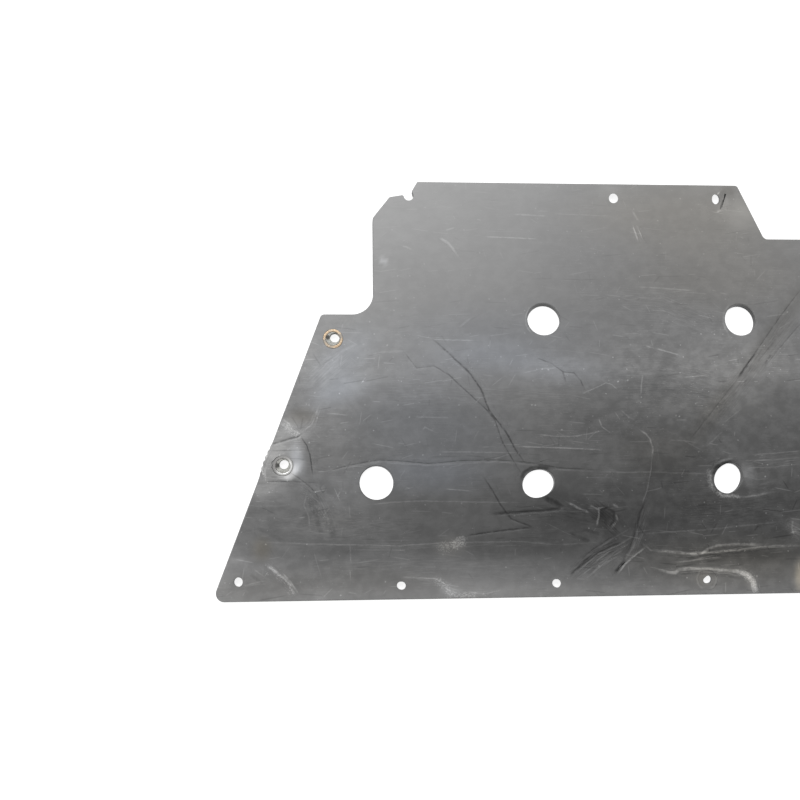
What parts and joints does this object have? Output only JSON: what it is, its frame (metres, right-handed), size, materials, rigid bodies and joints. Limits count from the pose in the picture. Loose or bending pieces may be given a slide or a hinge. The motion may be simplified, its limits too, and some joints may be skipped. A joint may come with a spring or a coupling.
{
  "type": "skid plate",
  "caption": "Flat trapezoidal skid plate with slanted sides, a notched top edge, large access holes, edge bolt holes and flanged side bushes, scratched from use.",
  "frame": {"origin": "middle of the box at the back face, on the surface that the plate lies on", "axes": "+X along the width, +Y towards the notched edge, +Z out of the scratched road side"},
  "size_m": [1.2846, 0.4334, 0.0084],
  "materials": {
    "worn_sheet": "satin dark grey, scratched and scuffed",
    "bush_metal": "yellow plating, worn bright on one bush"
  },
  "bodies": {
    "root": {"skid_plate": "worn_sheet", "shoulder_bush_left": "bush_metal", "shoulder_bush_right": "bush_metal", "flank_bush_left": "bush_metal", "flank_bush_right": "bush_metal"}
  },
  "joints": []
}
